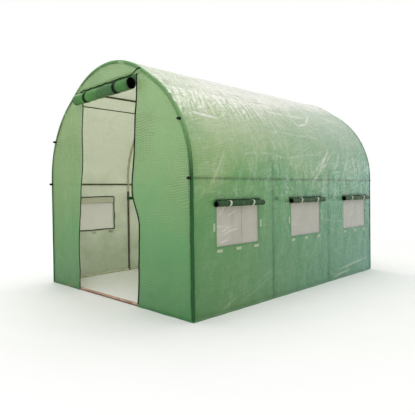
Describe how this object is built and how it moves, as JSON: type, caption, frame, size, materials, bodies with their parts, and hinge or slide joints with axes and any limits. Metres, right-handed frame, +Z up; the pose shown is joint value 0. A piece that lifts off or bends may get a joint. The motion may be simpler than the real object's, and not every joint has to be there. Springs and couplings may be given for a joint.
{
  "type": "polytunnel greenhouse",
  "caption": "Walk-in garden polytunnel: hooped steel tube frame under a translucent green sheet cover, with a rolled-up door and netted side windows under rolled-up flaps.",
  "frame": {"origin": "on the ground, at the middle of the bounding box", "axes": "+X to the right seen from the front, +Y from the door end to the rear end, +Z up"},
  "size_m": [2.1038, 3.136, 2.0618],
  "materials": {
    "frame_tube": "weathered galvanised steel tube, satin",
    "ground_tube": "weathered galvanised steel tube, satin",
    "bolt_cap": "black moulded cap over a steel bolt",
    "cover_sheet": "translucent green woven film with a fine reinforcing grid",
    "rolled_sheet": "the same film rolled up, darker in many layers",
    "binding_tape": "dark green woven tape",
    "dark_strap": "black woven strap",
    "insect_net": "fine pale grey insect net",
    "pale_strap": "pale hook-and-loop tape"
  },
  "bodies": {
    "root": {"hoop_1_legs": "frame_tube", "hoop_1_shoulders": "frame_tube", "hoop_1_crown": "frame_tube", "hoop_2_legs": "frame_tube", "hoop_2_shoulders": "frame_tube", "hoop_2_crown": "frame_tube", "hoop_3_legs": "frame_tube", "hoop_3_shoulders": "frame_tube", "hoop_3_crown": "frame_tube", "hoop_4_legs": "frame_tube", "hoop_4_shoulders": "frame_tube", "hoop_4_crown": "frame_tube", "left_rail": "frame_tube", "right_rail": "frame_tube", "left_purlin": "frame_tube", "right_purlin": "frame_tube", "left_ground_bar": "ground_tube", "right_ground_bar": "ground_tube", "front_ground_bar": "ground_tube", "rear_ground_bar": "ground_tube", "front_bolts": "bolt_cap", "rear_bolts": "bolt_cap", "left_wall_cover": "cover_sheet", "right_wall_cover": "cover_sheet", "roof_cover": "cover_sheet", "front_left_panel": "cover_sheet", "front_right_panel": "cover_sheet", "front_top_panel": "cover_sheet", "rear_panel": "cover_sheet", "front_binding": "binding_tape", "rear_binding": "binding_tape", "door_zips": "binding_tape", "door_header": "binding_tape", "door_roll": "rolled_sheet", "door_straps": "dark_strap", "left_window_nets": "insect_net", "right_window_nets": "insect_net", "left_window_rolls": "rolled_sheet", "right_window_rolls": "rolled_sheet", "left_window_straps": "pale_strap", "right_window_straps": "pale_strap", "left_window_patches": "pale_strap", "right_window_patches": "pale_strap", "left_ties": "binding_tape", "right_ties": "binding_tape"}
  },
  "joints": []
}
